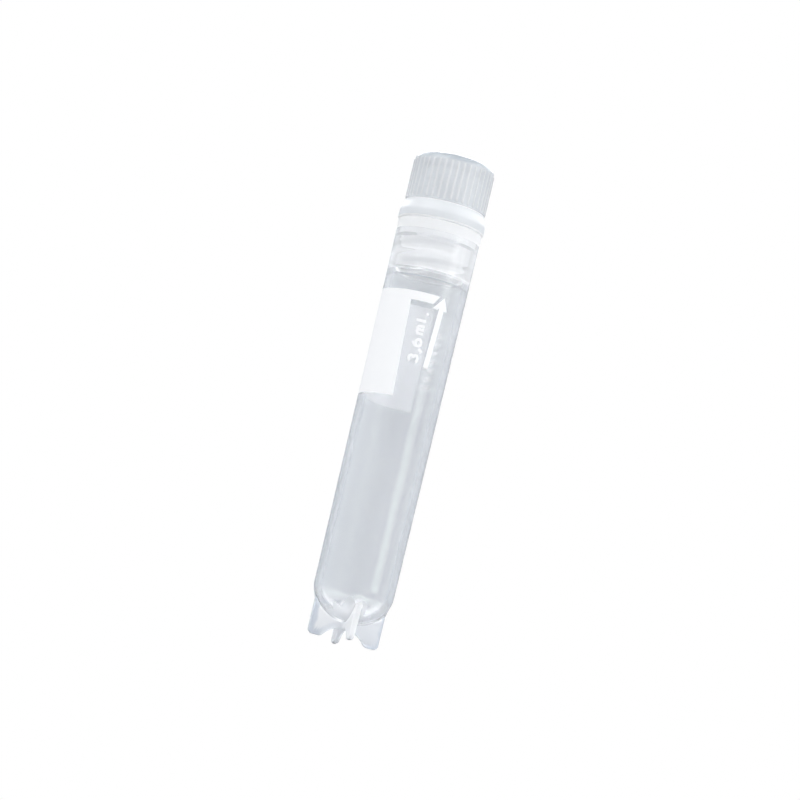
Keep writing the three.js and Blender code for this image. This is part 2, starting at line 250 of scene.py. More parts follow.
class Finishes(bpy.types.PropertyGroup):
    """The colours of the three plastics, of the shade painted on them, and of the ink."""

    tube: colour("Tube", "Natural polypropylene, where light passes", 0.975, 0.978, 0.981)
    tube_haze: colour("Tube haze", "Natural polypropylene where it is cloudier", 0.965, 0.97, 0.975)
    neck: colour("Neck", "The tube's milky neck", 0.94, 0.942, 0.946)
    fin: colour("Fin", "The foot's milky blades", 0.955, 0.955, 0.96)
    # Painted shade: the blades' outlines are painted towards this, for light that the thin blades lead away
    edge: colour("Fin edge", "Dark band along a blade's outline", 0.70, 0.735, 0.79)
    cap: colour("Cap", "Milkier polypropylene", 0.82, 0.825, 0.835)
    cap_haze: colour("Cap haze", "Milkier polypropylene where it is cloudier", 0.795, 0.80, 0.81)
    # Painted shade between the ribs, at the top edge and on the flange
    painted_shade: colour("Valley", "Dark plastic between the ribs and at the top edge", 0.60, 0.65, 0.70)
    stem: colour("Stem", "The cap's thick stem and flange", 0.85, 0.852, 0.857)
    seal: colour("Seal", "Silicone", 0.89, 0.897, 0.902)
    seal_haze: colour("Seal haze", "Silicone where it is denser", 0.85, 0.857, 0.862)
    ink: colour("Ink", "White ink", 0.925, 0.925, 0.935)
    thin_ink: colour("Thin ink", "White ink where it lies thinner", 0.905, 0.908, 0.922)
    floor: colour("Floor", "The pale floor", 0.92, 0.92, 0.92)
    floor_bounce: colour("Floor bounce", "What the vial sees of the floor", 0.50, 0.52, 0.545)


class StageSizes(bpy.types.PropertyGroup):
    """The camera, the floor and the lamps."""

    azimuth: angle("Azimuth", "Camera's place round the vial", -13.5)
    elevation: angle("Elevation", "Camera's height over the horizon", -9.72)
    roll: angle("Roll", "Turn of the camera about its view, which leans the vial", 13.38)
    distance: length("Distance", "Camera to the vial's middle", 0.8)
    side_step: length("Side step", "The view's middle, beside the vial's axis", 0.092 * MM)
    lens: FloatProperty(name="Lens", description="Focal length", default=250.16, min=1, unit="CAMERA")
    floor_radius: length("Floor radius", "The pale disc that the vial stands on", 0.12)


GROUPS = {
    "cryovial_thread": ThreadSizes,
    "cryovial_tube": TubeSizes,
    "cryovial_cap": CapSizes,
    "cryovial_seal": SealSizes,
    "cryovial_print": PrintSizes,
    "cryovial_finishes": Finishes,
    "cryovial_stage": StageSizes,
}


# --- Surfaces -----------------------------------------------------------------


def smoothstep(x):
    """3x² − 2x³ between 0 and 1, flat outside."""
    x = np.clip(x, 0, 1)
    return x * x * (3 - 2 * x)


def overlap(a, b, radius):
    """The distance field of what two solids share, its meeting edge rounded: a circle of the radius takes
    the place of the sharp corner where the two distances a and b both come near 0."""
    from_corner = np.hypot(np.maximum(a + radius, 0), np.maximum(b + radius, 0))
    return np.minimum(-radius, np.maximum(a, b)) + from_corner


def union(a, b, radius):
    """The distance field of two solids together, filleted where they meet: the overlap's mirror image."""
    return -overlap(-a, -b, radius)


def rounded(*corners, steps=6, support=0.02 * MM):
    """A line of (radius, height, rounding) corners, each given an arc tangent to both of its stretches.
    With half the corner's inner angle h, the arc starts rounding / tan h from the corner, and its centre is
    rounding / sin h along the bisector. One more point stands just beyond each end of an arc, so that the
    shading of the straight stretches stays straight."""
    corners = np.array(corners, float)
    point, reach = corners[1:-1, :2], corners[1:-1, 2:]
    back, on = corners[:-2, :2] - point, corners[2:, :2] - point
    back /= np.linalg.norm(back, axis=1, keepdims=True)
    on /= np.linalg.norm(on, axis=1, keepdims=True)
    half = np.arccos(np.clip((back * on).sum(1, keepdims=True), -1, 1)) / 2
    tangent = reach / np.tan(half)
    middle = back + on
    middle /= np.linalg.norm(middle, axis=1, keepdims=True)
    centre = point + middle * reach / np.sin(half)
    start, end = point + back * tangent - centre, point + on * tangent - centre
    turn = (np.pi - 2 * half)[:, None]
    t = np.linspace(0, 1, steps)[None, :, None]
    from_start = start[:, None] * np.sin((1 - t) * turn)
    from_end = end[:, None] * np.sin(t * turn)
    arcs = centre[:, None] + (from_start + from_end) / np.sin(turn)
    before = (point + back * (tangent + support))[:, None]
    after = (point + on * (tangent + support))[:, None]
    inner = np.concatenate([before, arcs, after], 1).reshape(-1, 2)
    return np.concatenate([corners[:1, :2], inner, corners[-1:, :2]])


def ridge(turn, level, thread, top, bottom, top_angle):
    """The height of a screw thread's ridge above its wall, at each angle and level.
    A point is pitch × (turns − nearest whole number) away from the ridge's middle line, along the axis. The
    ridge rises from half its root width in to half its crest width, and fades out towards both ends."""
    turns = (level - top) / thread.pitch - (turn - top_angle) / (2 * np.pi)
    away = (turns - np.round(turns)) * thread.pitch
    middle = level - away
    run_out = thread.run_out / (2 * np.pi) * thread.pitch
    fade = smoothstep(np.minimum(top - middle, middle - bottom) / run_out)
    flank = (thread.root_width - thread.crest_width) / 2
    return thread.depth * fade * smoothstep((thread.root_width / 2 - np.abs(away)) / flank)


def full_turn(columns):
    """Evenly spaced angles round the axis."""
    return np.arange(columns) * 2 * np.pi / columns


def revolved(profile, turn, relief=None):
    """Points of a surface of revolution, one row for each [radius, level] of the profile and one column for
    each angle: (radius + relief) × (cos, sin) and the level."""
    radius, level = profile[:, :1], profile[:, 1:]
    if relief:
        radius = radius + relief(turn[None, :], level)
    return np.stack([radius * np.cos(turn), radius * np.sin(turn), level + 0 * turn], -1)


def upright(radius, levels):
    """A profile that runs straight up or down at one radius."""
    return np.stack([np.full(len(levels), radius), levels], 1)


def ring_faces(rows, columns):
    """Four-cornered faces of a grid whose last column meets its first: corner (row, column) is vertex
    row × columns + column."""
    here = np.arange((rows - 1) * columns).reshape(-1, columns)
    beside = np.roll(here, -1, axis=1)
    return np.stack([here, beside, beside + columns, here + columns], -1).reshape(-1, 4)


def fan_faces(row, pole, columns, at_start):
    """Three-cornered faces from one row of a grid to a single point, at the grid's start or at its end."""
    here, beside = row + np.arange(columns), row + np.roll(np.arange(columns), -1)
    pair = [beside, here] if at_start else [here, beside]
    return np.stack([np.full(columns, pole), *pair], -1)


def added(name, data):
    """An object in the scene with that data."""
    item = bpy.data.objects.new(name, data)
    bpy.context.scene.collection.objects.link(item)
    return item


def mesh_piece(name, points, faces, materials, finish=None, shade=None):
    """An object at the origin from points and faces. Every edge must belong to two faces. With several
    materials, finish gives the number of the one at each point, and a face takes that of its first corner.
    Shade is the points' own attribute of that name: painted shade above 0, and painted light below 0. above 0
    for darker plastic, and below 0 for lighter."""
    loops = np.concatenate([f.ravel() for f in faces])
    sizes = np.concatenate([np.full(len(f), f.shape[1]) for f in faces])
    starts = np.concatenate([[0], np.cumsum(sizes)[:-1]])
    following = np.arange(1, len(loops) + 1)
    following[starts + sizes - 1] = starts
    edges = np.sort(np.stack([loops, loops[following]], 1), 1)
    if (np.unique(edges, axis=0, return_counts=True)[1] != 2).any():
        raise RuntimeError(f"{name} is not a closed surface")
    mesh = bpy.data.meshes.new(name)
    mesh.vertices.add(len(points))
    mesh.vertices.foreach_set("co", points.astype(np.float32).ravel())
    mesh.loops.add(len(loops))
    mesh.loops.foreach_set("vertex_index", loops.astype(np.int32))
    mesh.polygons.add(len(sizes))
    mesh.polygons.foreach_set("loop_start", starts.astype(np.int32))
    mesh.polygons.foreach_set("use_smooth", np.full(len(sizes), True))
    if finish is not None:
        mesh.polygons.foreach_set("material_index", finish[loops[starts]].astype(np.int32))
    if shade is not None:
        mesh.attributes.new("shade", "FLOAT", "POINT").data.foreach_set("value", shade.astype(np.float32))
    mesh.update(calc_edges=True)
    mesh.validate()
    for material in materials:
        mesh.materials.append(material)
    return added(name, mesh)


def closed_turning(name, rows, materials, poles=None, finish=None, shade=None):
    """A piece from rows of points round the axis. With the levels of two poles, the first and last row close
    to those points; without them, the last row is joined to the first, as in a ring. Finish and shade have a
    value for each point of the rows, and the poles take those of their rows."""
    count, columns = rows.shape[:2]
    points = rows.reshape(-1, 3)
    if poles is None:
        return mesh_piece(name, points, [ring_faces(count + 1, columns) % len(points)], materials)
    start = fan_faces(0, len(points), columns, True)
    end = fan_faces((count - 1) * columns, len(points) + 1, columns, False)
    finish, shade = (np.concatenate([v.ravel(), v[[0, -1], 0]]) for v in (finish, shade))
    points = np.concatenate([points, [[0, 0, level] for level in poles]])
    return mesh_piece(name, points, [ring_faces(count, columns), start, end], materials, finish, shade)


# --- The tube -----------------------------------------------------------------


def around(tube):
    """The neck's radius under the lip, which also turns a length round the tube into an angle."""
    return TUBE_TOP.x - tube.lip


def outside_radius(tube, level):
    """The drafted wall's outside radius: the neck's, less the draft for each metre under the rim."""
    return around(tube) - tube.draft * (tube.rim - level)


def ellipsoid_distance(x, y, z, radius, depth):
    """About the distance to an ellipsoid about the origin: (k − 1) k / |gradient|, with k the point's
    length after each axis is divided by its half-length."""
    k = np.sqrt((x / radius) ** 2 + (y / radius) ** 2 + (z / depth) ** 2)
    gradient = np.sqrt((x / radius**2) ** 2 + (y / radius**2) ** 2 + (z / depth**2) ** 2)
    return (k - 1) * k / np.maximum(gradient, 1)


def blade_outline(tube, along, level):
    """The flat distance field of a blade's outline: its outer edges, its pads, and the arch between them."""
    reach = outside_radius(tube, tube.shoulder) - tube.fin_inset
    pad = reach - tube.pad
    arch = (tube.arch**2 + pad**2) / (2 * tube.arch)
    outline = overlap(np.abs(along) - reach, -level, tube.fin_corner)
    return overlap(outline, arch - np.hypot(along, level - tube.arch + arch), tube.fin_edge)


def blade_distance(tube, along, across, level):
    """The distance field of one blade of the foot, right across the axis: a slab that thins towards the
    pads, cut off at the outer edge, at the pads' plane and by the arch's circle, with every edge rounded."""
    rise = np.clip(level / tube.fin_height, 0, 1)
    slab = np.abs(across) - (tube.fin_foot + (tube.fin_thickness - tube.fin_foot) * rise) / 2
    return overlap(slab, blade_outline(tube, along, level), tube.fin_edge)


def foot_rows(tube, turn, tilt):
    """Points of the round bottom and its blades, on rays from the middle of the round bottom's open end. A
    ray's direction is (sin tilt cos turn, sin tilt sin turn, −cos tilt), and it is halved again and again
    about the place where the joint distance field of the ellipsoid and both blades changes sign."""
    radius = outside_radius(tube, tube.shoulder)
    ray = np.stack(
        [np.sin(tilt) * np.cos(turn), np.sin(tilt) * np.sin(turn), -np.cos(tilt) + 0 * turn], -1
    )
    near, far = np.zeros(ray.shape[:2]), np.full(ray.shape[:2], 2 * tube.shoulder)
    for _ in range(40):
        halfway = (near + far) / 2
        x, y, z = np.moveaxis(ray * halfway[..., None], -1, 0)
        level = z + tube.shoulder
        solid = ellipsoid_distance(x, y, z, radius, tube.dome_depth)
        solid = union(solid, blade_distance(tube, x, y, level), tube.fillet)
        solid = union(solid, blade_distance(tube, y, x, level), tube.fillet)
        near, far = np.where(solid < 0, halfway, near), np.where(solid < 0, far, halfway)
    return ray * near[..., None] + np.array([0, 0, tube.shoulder])


def foot_looks(tube, rows):
    """The finish and the shade of each point of the foot. A point is on a blade where it stands proud of the
    round bottom. The shade is painted and follows its distance to the blade's outline: painted shade in a
    band along the outline, in place of the light that the thin blade leads away, and a painted light line
    inside that band. The middle of a blade's edge, within a share of its thickness, has none. The round
    bottom's milky streaks rise with
    sin(5a + 1) sin 8a + sin(13a + 2) / 2, where a is the angle round the axis."""
    band_fade, line_inset, line_half = 0.15 * MM, 0.14 * MM, 0.18 * MM
    plain_share, side_fade = 0.12, 0.2
    inner, inner_share, far_share, even_share = 3 * MM, 0.3, 0.25, 0.3
    streak_share = 0.3
    x, y, z = np.moveaxis(rows, -1, 0)
    radius = outside_radius(tube, tube.shoulder)
    proud = ellipsoid_distance(x, y, z - tube.shoulder, radius, tube.dome_depth)
    on_x = np.abs(y) < np.abs(x)
    depth = -np.where(on_x, blade_outline(tube, x, z), blade_outline(tube, y, z))
    side = smoothstep((np.where(on_x, np.abs(y), np.abs(x)) / tube.fin_foot - plain_share) / side_fade)
    # Painted shade in a band along the outline, wider on the left blade, and a painted light line just inside
    # it
    band = np.where(x < 0, tube.painted_fin_band, tube.painted_fin_band / 2)
    dark = smoothstep((band - depth) / band_fade)
    light = smoothstep(1 - np.abs(depth - band - line_inset) / line_half)
    # The painted shade is weaker near the axis and on the far fin, none on the near fin, and all over the
    # right fin
    outer = inner_share + (1 - inner_share) * smoothstep((np.abs(x) - inner) / MM)
    strength = np.where(on_x, outer, np.where(y > 0, far_share, 0))
    even = np.where(on_x & (x > 0), even_share, 0)
    shade = np.maximum(strength * (dark - light), even) * side
    turn = np.arctan2(y, x)
    streak = np.sin(5 * turn + 1) * np.sin(8 * turn) + 0.5 * np.sin(13 * turn + 2)
    milky = z < tube.streaks_low + tube.streaks * np.clip(streak_share + streak, 0, 1)
    finish = np.where(proud > tube.fillet / 2, MILKY, np.where(milky, STREAKS, CLEAR))
    return finish, np.where(proud > tube.fillet / 5, shade, 0)


def foot_columns():
    """Angles round the tube, close together where a blade's sides and edges are: half a degree for the 15
    degrees on both sides of each blade, and about a degree and a quarter between."""
    quarter = np.concatenate([np.arange(0, 15, 0.5), np.linspace(15, 75, 50)[:-1], np.arange(75, 90, 0.5)])
    return np.radians((quarter[None, :] + np.arange(0, 360, 90)[:, None]).ravel())


def neck_profiles(tube):
    """The outside and the rim, the neck's bore that carries the thread, and the bore from there down."""
    neck = around(tube) - tube.neck_wall
    lip_foot = tube.rim - tube.lip_height - tube.lip_slope
    # The rows that carry the thread begin and end clear of the neck's own roundings
    thread_low, thread_high = tube.neck_bottom + 0.8 * MM, tube.seat_bottom - 0.75 * MM
    step = 0.112 * MM
    over_rim = rounded(
        (outside_radius(tube, tube.shoulder), tube.shoulder, 0),
        (outside_radius(tube, lip_foot), lip_foot, 1.0 * MM),
        (TUBE_TOP.x, tube.rim - tube.lip_height, 1.0 * MM),
        (TUBE_TOP.x, tube.rim, 0.12 * MM),
        (tube.seat_radius, tube.rim, 0.08 * MM),
        (tube.seat_radius, tube.seat_bottom, 0.06 * MM),
        (neck, tube.seat_bottom - tube.seat_radius + neck, 0.1 * MM),
        (neck, thread_high, 0),
    )
    threaded = upright(neck, np.arange(thread_high - step, thread_low, -step))
    down_bore = rounded(
        (neck, thread_low, 0),
        (neck, tube.neck_bottom + tube.cone, 0.2 * MM),
        (outside_radius(tube, tube.neck_bottom) - tube.wall, tube.neck_bottom, 0.2 * MM),
        (outside_radius(tube, tube.shoulder) - tube.wall, tube.shoulder, 0),
        steps=3,
    )
    return over_rim, threaded, down_bore


def tube_surface(tube, thread):
    """The whole tube as one grid, from the pole under the foot, up the outside, over the rim and down the
    bore to the pole inside the round bottom. The neck's bore carries the thread as a relief. Returns the
    rows, the levels of both poles, and the finish and the shade of each point."""
    turn = foot_columns()
    # Degrees from straight down, closest together over the arches and the pads
    rays = [np.arange(1, 14, 1.3), np.arange(14, 38, 0.55), np.arange(38, 70, 0.95), np.linspace(70, 89, 9)]
    foot = foot_rows(tube, turn, np.radians(np.concatenate(rays))[:, None])
    bore = outside_radius(tube, tube.shoulder) - tube.wall
    fall = np.linspace(0, np.pi / 2, 26)[1:-1]
    dome = np.stack([bore * np.cos(fall), tube.shoulder - (tube.dome_depth - tube.floor) * np.sin(fall)], 1)

    def thread_relief(turn, level):
        return -ridge(turn, level, thread, thread.tube_top, thread.tube_bottom, thread.tube_angle)

    over_rim, threaded, down_bore = neck_profiles(tube)
    neck_rows = [revolved(over_rim, turn), revolved(threaded, turn, thread_relief)]
    rows = np.concatenate([foot, *neck_rows, revolved(down_bore, turn), revolved(dome, turn)])
    under = foot_rows(tube, np.zeros(1), np.zeros((1, 1)))[0, 0, 2]
    inside = tube.shoulder - tube.dome_depth + tube.floor
    # Milky from the level of the stem's end, and painted light at the rim's edge under the flange
    level = rows[..., 2]
    finish = np.select([level > CAP_LOW.z + tube.neck_streaks, level > CAP_LOW.z], [NECK, STREAKS], CLEAR)
    shade = -1.0 * (level > tube.rim - tube.painted_rim_light)
    finish[: len(foot)], shade[: len(foot)] = foot_looks(tube, foot)
    return rows, (under, inside), finish, shade


# --- The cap and its seal -----------------------------------------------------


def head_levels(cap):
    """The lower end of the head, and the lower and the upper end of its ribs."""
    head_low = cap.flange_bottom + cap.flange_edge + cap.flare
    return head_low, head_low + cap.rib_foot_margin, cap.top - cap.rib_top_margin


def rib_relief(cap, turn, level):
    """How far the ribs stand out at each angle and level. There is a rib for each whole number of steps round
    the head: it rises from half its foot's share of a step away from its middle to half its crest's share,
    and its ends fade out along a quarter circle."""
    _, ribs_low, ribs_high = head_levels(cap)
    steps = turn / (2 * np.pi) * cap.ribs
    off = np.abs(steps - np.round(steps))
    side = (cap.rib_foot_share - cap.rib_crest_share) / 2
    across = smoothstep((cap.rib_foot_share / 2 - off) / side)
    end = np.clip(np.minimum(level - ribs_low, ribs_high - level) / cap.rib_end, 0, 1)
    return cap.rib * across * np.sqrt(1 - (1 - end) ** 2)


def cap_looks(cap, turn, rows):
    """The finish and the shade of each point of the cap: painted shade between the ribs, at the top edge
    and on the flange, and painted light on the ribs and along the seam under the flange."""
    # Weights of the painted shade; below 0 they paint light
    valley_shade, rib_shade, edge_shade, seam_shade, flange_shade = 0.4, -0.25, 0.7, -1.0, 0.42
    edge_fade, brim, seam_spare, stem_spare = 0.3 * MM, 0.5 * MM, 0.01 * MM, 0.1 * MM
    head_low, _, ribs_high = head_levels(cap)
    level, radius = rows[..., 2], np.hypot(rows[..., 0], rows[..., 1])
    # Painted shade between the ribs and over the top edge, painted light on the ribs' crests
    painted_shade = 1 - rib_relief(cap, turn[None, :], level) / cap.rib
    edge = smoothstep((level - ribs_high) / edge_fade)
    on_head = valley_shade * painted_shade + rib_shade * (1 - painted_shade) + edge_shade * edge
    outside = (level > head_low) & (radius > cap.recess_radius + brim)
    # Painted light along the seam under the flange, and painted shade on the flange itself
    seam_top = cap.flange_bottom + 0.9 * cap.flange_rounding
    on_seam = (level > cap.flange_bottom - seam_spare) & (level < seam_top)
    on_flange = (level > cap.flange_bottom + cap.flange_rounding) & (level < head_low)
    shade = np.where(outside, on_head, 0) + seam_shade * on_seam + flange_shade * on_flange
    return np.where(level < head_low - stem_spare, STEM, HEAD), shade


def stem_profiles(cap, thread):
    """The stem's rounded end, its wall that carries the thread, and from there the ring under the seal, the
    seal's groove and the flange."""
    retainer_low = cap.retainer_top - cap.retainer
    retainer_radius = cap.stem_radius + cap.retainer_step
    step = 0.1 * MM
    thread_low, thread_high = thread.stem_bottom - 0.5 * MM, retainer_low - cap.retainer_step
    stem_end = rounded(
        (cap.hub, cap.stem_bottom, 0),
        (cap.stem_radius, cap.stem_bottom, cap.stem_corner),
        (cap.stem_radius, thread_low, 0),
        steps=9,
    )
    threaded = upright(cap.stem_radius, np.arange(thread_low + step, thread_high - step / 2, step))
    flange = rounded(
        (cap.stem_radius, thread_high, 0),
        (cap.stem_radius, retainer_low - cap.retainer_step / 2, 0.08 * MM),
        (retainer_radius, retainer_low, 0.1 * MM),
        (retainer_radius, cap.retainer_top, 0.08 * MM),
        (cap.groove_radius, cap.retainer_top, 0.06 * MM),
        (cap.groove_radius, cap.flange_bottom, 0.06 * MM),
        (cap.flange_radius, cap.flange_bottom, cap.flange_rounding),
        (cap.flange_radius, cap.flange_bottom + cap.flange_edge, 0),
    )
    return stem_end, threaded, flange


def head_profiles(cap):
    """The flare, which narrows by half a cosine wave, the wall that carries the ribs, and from there the top
    edge, the recess and the hollow stem."""
    head_low, ribs_low, ribs_high = head_levels(cap)
    t = np.linspace(0, 1, 14)[1:-1]
    narrowing = (cap.head_radius - cap.flange_radius) * (1 - np.cos(t * np.pi)) / 2
    flare_low = cap.flange_bottom + cap.flange_edge
    flare = np.stack([cap.flange_radius + narrowing, flare_low + cap.flare * t], 1)
    low_end = np.linspace(ribs_low, ribs_low + cap.rib_end, 6)
    high_end = np.linspace(ribs_high - cap.rib_end, ribs_high, 6)
    body = np.linspace(ribs_low + cap.rib_end, ribs_high - cap.rib_end, 8)[1:-1]
    plain = [head_low, ribs_low - 0.02 * MM]
    ribbed = upright(cap.head_radius, np.concatenate([plain, low_end, body, high_end]))
    core, core_floor = cap.stem_radius - cap.stem_wall, cap.stem_bottom + cap.stem_floor
    seat = cap.top - cap.recess
    over_top = rounded(
        (cap.head_radius, ribs_high - MICRON, 0),
        (cap.head_radius, cap.top, cap.head_corner - 0.03 * MM),
        (cap.recess_radius, cap.top, 0.12 * MM),
        (cap.recess_radius, seat, 0.12 * MM),
        (core, seat, 0.15 * MM),
        (core, core_floor, 0.35 * MM),
        (cap.hub, core_floor, 0),
        steps=8,
    )
    return flare, ribbed, over_top[1:]


def cap_surface(cap, thread):
    """The whole cap as one grid, from the pole under the stem, up the outside with its thread, groove,
    flange and ribs, over the top edge, and down the recess and the hollow stem to the pole on the stem's
    floor. Returns the rows, the levels of both poles, and the finish and the shade of each point."""
    turn = full_turn(12 * cap.ribs)
    # The stem's ridge runs half-way between the turns of the tube's
    stem_angle = thread.tube_angle + np.pi + (thread.stem_top - thread.tube_top) / thread.pitch * 2 * np.pi

    def thread_relief(turn, level):
        return ridge(turn, level, thread, thread.stem_top, thread.stem_bottom, stem_angle)

    profiles = [*stem_profiles(cap, thread), *head_profiles(cap)]
    reliefs = [None, thread_relief, None, None, partial(rib_relief, cap), None]
    rows = [revolved(profile, turn, relief) for profile, relief in zip(profiles, reliefs)]
    rows = np.concatenate(rows)
    return rows, (cap.stem_bottom, cap.stem_bottom + cap.stem_floor), *cap_looks(cap, turn, rows)


def seal_surface(seal):
    """The sealing ring: a rectangle with rounded corners, carried round the axis."""
    inner = seal.outer - seal.width
    middle = (seal.top + seal.bottom) / 2
    section = rounded(
        (seal.outer, middle, 0),
        (seal.outer, seal.top, seal.corner),
        (inner, seal.top, seal.corner),
        (inner, seal.bottom, seal.corner),
        (seal.outer, seal.bottom, seal.corner),
        (seal.outer, middle, 0),
        steps=8,
    )[:-1]
    return revolved(section, full_turn(120))


# --- The print ----------------------------------------------------------------


def straight(start, end, count=6):
    """Points in a straight line from start to end."""
    return np.linspace(np.array(start, float), np.array(end, float), count)


def arc(x, y, a, b, start, end, count=24):
    """Points of an elliptical arc about (x, y) with half-axes a and b, between two angles in degrees."""
    t = np.radians(np.linspace(start, end, count))
    return np.stack([x + a * np.cos(t), y + b * np.sin(t)], 1)


def stroke_edges(line, width):
    """The two edges of a pen stroke: the line, moved sideways by half the width along its normals."""
    ahead = np.gradient(line, axis=0)
    normal = np.stack([-ahead[:, 1], ahead[:, 0]], 1) / np.linalg.norm(ahead, axis=1, keepdims=True)
    return line + normal * width / 2, line - normal * width / 2


def closer_ends(line):
    """The line with two more points at each end, a tenth and a fifth of the way to the next one."""
    shares = np.array([[0], [0.1], [0.2]])
    start = line[:1] + (line[1:2] - line[:1]) * shares
    end = line[-1:] + (line[-2:-1] - line[-1:]) * shares[::-1]
    return np.concatenate([start, line[1:-1], end])


def ink_strip(tube, first, second, lift):
    """A film of ink on the tube between two lines of [angle, level] points. Each cross-section runs from one
    line to the other over the film and back inside the wall, where it is rooted, and the film rises from its
    outline to its full height within a narrow border."""
    border_width, root = 0.02 * MM, 0.012 * MM
    along, aside = first[-1] - first[0], second.mean(0) - first.mean(0)
    if along[0] * aside[1] > along[1] * aside[0]:
        first, second = second, first
    width = np.linalg.norm((second - first) * [around(tube), 1], axis=1).mean()
    border = min(border_width / width, 0.1)
    across = np.concatenate([[0, border], np.linspace(2 * border, 1 - 2 * border, 9), [1 - border, 1]])
    first, second = closer_ends(first), closer_ends(second)
    film = np.full((len(first), len(across)), lift)
    film[:, [0, -1]] = film[[0, -1]] = 0
    film = np.concatenate([film, np.full(film.shape, -root)], 1)
    across = np.concatenate([across, across[::-1]])
    place = first[:, None] + (second - first)[:, None] * across[None, :, None]
    turn, level = place[..., 0], place[..., 1]
    radius = outside_radius(tube, level) + film
    points = np.stack([radius * np.cos(turn), radius * np.sin(turn), level], -1)
    count, columns = film.shape
    start = np.arange(columns)[None, ::-1]
    return points.reshape(-1, 3), [ring_faces(count, columns), start, (count - 1) * columns + start[:, ::-1]]


def ink_piece(name, strips, material):
    """One object from several films of ink, each a closed shell of its own."""
    points, faces, first = [], [], 0
    for strip_points, strip_faces in strips:
        faces += [f + first for f in strip_faces]
        points.append(strip_points)
        first += len(strip_points)
    return mesh_piece(name, np.concatenate(points), faces, [material])


def field_strips(tube, ink):
    """The writing field, whose near end slants."""
    low = straight((ink.field_start, ink.bottom), (ink.field_end_low, ink.bottom), 120)
    high = straight((ink.field_start, ink.top), (ink.field_end_high, ink.top), 120)
    return [ink_strip(tube, low, high, ink.ink)]


def fill_line_strips(tube, ink):
    """The fill line with its slanted tip, and the arrow up to it: a leaning shaft and the two sides of its
    head, which cross over the shaft. Each film stands a step over the one that it crosses."""
    inset, slant, crossing = 0.01, 0.12, 0.04  # radians
    foot, top = ink.top - ink.line, ink.top - 5 * MICRON
    line = ink_strip(
        tube,
        straight((ink.field_start + inset, foot), (ink.line_end - slant, foot), 160),
        straight((ink.field_start + inset, top), (ink.line_end, top), 160),
        ink.ink + FILM_STEP,
    )
    tip, half = ink.arrow, [ink.shaft / 2 / around(tube), 0]
    middle = straight((tip + ink.arrow_lean, ink.arrow_foot), (tip, ink.top - 0.6 * MM))
    shaft = ink_strip(tube, middle - half, middle + half, ink.ink)
    barb, barb_foot, notch = ink.barb / around(tube), ink.top - ink.barb_height, ink.top - 0.7 * MM
    left = ink_strip(
        tube,
        straight((tip - barb, barb_foot), (tip, ink.top)),
        straight((tip - 0.5 * barb, barb_foot - 0.1 * MM), (tip + crossing, notch)),
        ink.ink + 2 * FILM_STEP,
    )
    right = ink_strip(
        tube,
        straight((tip, ink.top), (tip + 0.62 * barb, barb_foot)),
        straight((tip - crossing, notch), (tip + 0.2 * barb, barb_foot)),
        ink.ink + 3 * FILM_STEP,
    )
    return [line, shaft, left, right]


def figures():
    """The pen lines of the volume mark, 3,6 ml, in letter heights from the start of its baseline."""

    def line(*ends):
        return straight(*ends, count=8)

    three = [arc(0.34, 0.745, 0.34, 0.255, 165, -85), arc(0.34, 0.265, 0.39, 0.265, 85, -165)]
    comma = [line((1.52, 0.16), (1.20, -0.30))]
    six = [arc(2.17, 0.32, 0.38, 0.32, 0, 360, 40), arc(2.55, 0.32, 0.76, 0.70, 180, 112)]
    em = [line((3.20, 0), (3.20, 0.80)), arc(3.41, 0.50, 0.21, 0.28, 175, 0)]
    em += [arc(3.83, 0.50, 0.21, 0.28, 180, 0), line((3.62, 0.52), (3.62, 0)), line((4.04, 0.52), (4.04, 0))]
    el = [line((4.66, 0), (4.66, 1.14))]
    stop = [line((5.50, -0.12), (5.50, 0.2))]
    return three + comma + six + em + el + stop


def volume_mark_strips(tube, ink):
    """The volume mark's strokes. The writing runs up the tube, and the letters stand across it."""
    strips = []
    for i, pen in enumerate(figures()):
        first, second = (
            np.stack([ink.mark - edge[:, 1] / around(tube), ink.mark_foot + edge[:, 0]], 1)
            for edge in stroke_edges(pen * ink.letter, ink.stroke)
        )
        strips.append(ink_strip(tube, first, second, ink.ink + i % 5 * FILM_STEP))
    return strips


def graduation_strips(tube, ink):
    """The scale on the back, in which every third mark is longer."""
    half_width = [0, ink.mark_width / 2]
    strips = []
    for i in range(ink.graduations):
        level = ink.scale_foot + i * ink.scale_step
        half = (ink.short_mark if i % 3 else ink.long_mark) / 2 / around(tube)
        middle = straight((ink.scale - half, level), (ink.scale + half, level), 12)
        strips.append(ink_strip(tube, middle - half_width, middle + half_width, ink.ink))
    return strips


# --- Finishes -----------------------------------------------------------------


class Value:
    """One output of a node. Python's operators on it add Math nodes to its tree."""

    def __init__(self, shader, socket):
        self.shader, self.socket = shader, socket

    def math(self, operation, *values):
        """A Math node of one operation on the values."""
        return self.shader.node("ShaderNodeMath", {"operation": operation}, dict(enumerate(values)))

    def larger(self, other):
        return self.math("MAXIMUM", self, other)

    def smaller(self, other):
        return self.math("MINIMUM", self, other)

    def __add__(self, other):
        return self.math("ADD", self, other)

    def __sub__(self, other):
        return self.math("SUBTRACT", self, other)

    def __mul__(self, other):
        return self.math("MULTIPLY", self, other)

    def __truediv__(self, other):
        return self.math("DIVIDE", self, other)

    def __radd__(self, other):
        return self.math("ADD", other, self)

    def __rsub__(self, other):
        return self.math("SUBTRACT", other, self)

    def __rmul__(self, other):
        return self.math("MULTIPLY", other, self)

    def __rtruediv__(self, other):
        return self.math("DIVIDE", other, self)


def socket_of(sockets, key):
    """The socket with that number, or the one in use that has that name."""
    return sockets[key] if isinstance(key, int) else next(s for s in sockets if s.name == key and s.enabled)


def set_stops(bands, stops):
    """Gives a colour ramp its (place, colour) stops, with smooth steps between them."""
    bands.interpolation = "EASE"
    while len(bands.elements) < len(stops):
        bands.elements.new(1.0)
    for element, (place, stop_colour) in zip(bands.elements, stops):
        element.position, element.color = place, (*stop_colour, 1)


